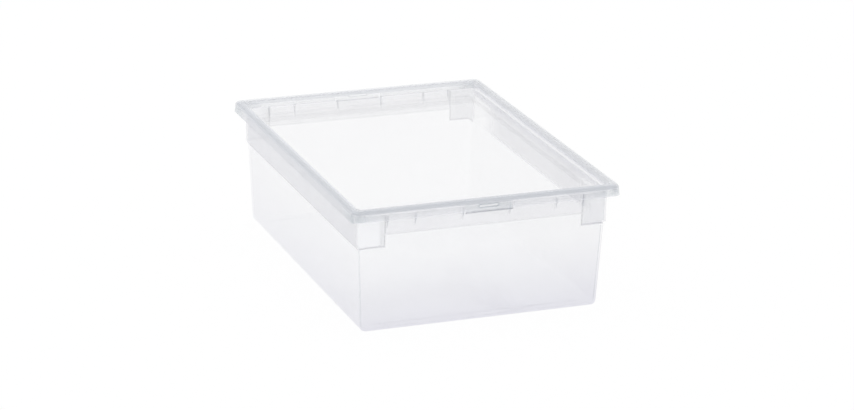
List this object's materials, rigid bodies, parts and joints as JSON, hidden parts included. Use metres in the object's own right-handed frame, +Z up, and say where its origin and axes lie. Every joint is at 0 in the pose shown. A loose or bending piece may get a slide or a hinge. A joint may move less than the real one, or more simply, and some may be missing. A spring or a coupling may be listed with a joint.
{
  "type": "plastic storage box",
  "caption": "Rectangular clear plastic storage box with tapering walls, a stepped rim and a recessed lid that a flexing tab at each short end holds down.",
  "frame": {"origin": "centre of the footprint, on the surface that the box stands on", "axes": "+Z up, +Y along the long side away from the front snap tab, +X along the short side to the right of someone who faces the front snap tab"},
  "size_m": [0.28, 0.3904, 0.13],
  "materials": {
    "box_plastic": "clear natural polypropylene, smooth satin moulded surface, slightly cloudy where it is thick",
    "lid_plastic": "clear natural polypropylene, smooth glossy moulded surface"
  },
  "bodies": {
    "box": {"box_body": "box_plastic"},
    "lid": {"lid": "lid_plastic"},
    "front_tab": {"front_snap_tab": "lid_plastic"},
    "rear_tab": {"rear_snap_tab": "lid_plastic"}
  },
  "joints": [
    {"name": "lid_lift", "type": "slide", "parent": "box", "child": "lid", "axis": [0, 0, 1], "range_m": [0, 0.15]},
    {"name": "front_tab_flex", "type": "hinge", "parent": "lid", "child": "front_tab", "pos_m": [0, -0.1926, 0.1258], "axis": [-1, 0, 0], "range_deg": [0, 12], "stiffness_Nm_per_rad": 0.05},
    {"name": "rear_tab_flex", "type": "hinge", "parent": "lid", "child": "rear_tab", "pos_m": [0, 0.1926, 0.1258], "axis": [1, 0, 0], "range_deg": [0, 12], "stiffness_Nm_per_rad": 0.05}
  ]
}
